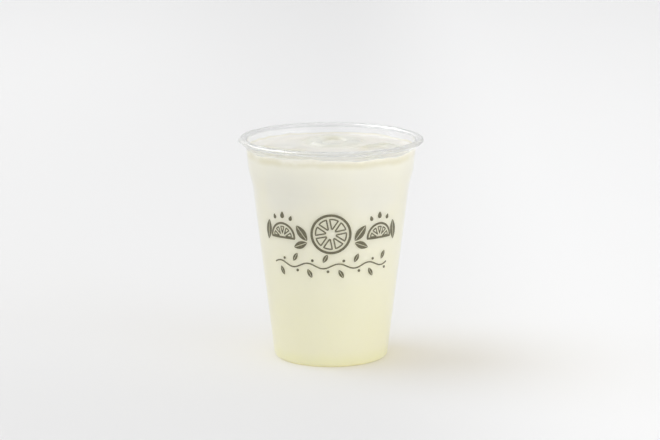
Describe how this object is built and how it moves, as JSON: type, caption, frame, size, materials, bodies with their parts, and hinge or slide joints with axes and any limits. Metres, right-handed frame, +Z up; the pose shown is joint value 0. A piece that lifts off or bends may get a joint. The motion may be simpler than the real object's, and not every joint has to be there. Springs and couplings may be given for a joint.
{
  "type": "cup of lemonade",
  "caption": "Clear disposable cold-drink cup with a rolled rim and stacking shoulder, filled nearly to the brim with cloudy lemonade and ice.",
  "frame": {"origin": "centre of the ring that the cup stands on", "axes": "+Z up along the cup's axis; -Y is the printed front; +X to the right seen from the front"},
  "size_m": [0.098, 0.098, 0.118],
  "materials": {
    "clear_plastic": "polished",
    "lemonade": "gloss",
    "ice": "gloss",
    "ink": "satin"
  },
  "bodies": {
    "root": {"cup": "clear_plastic", "lemonade": "lemonade"}
  },
  "joints": []
}
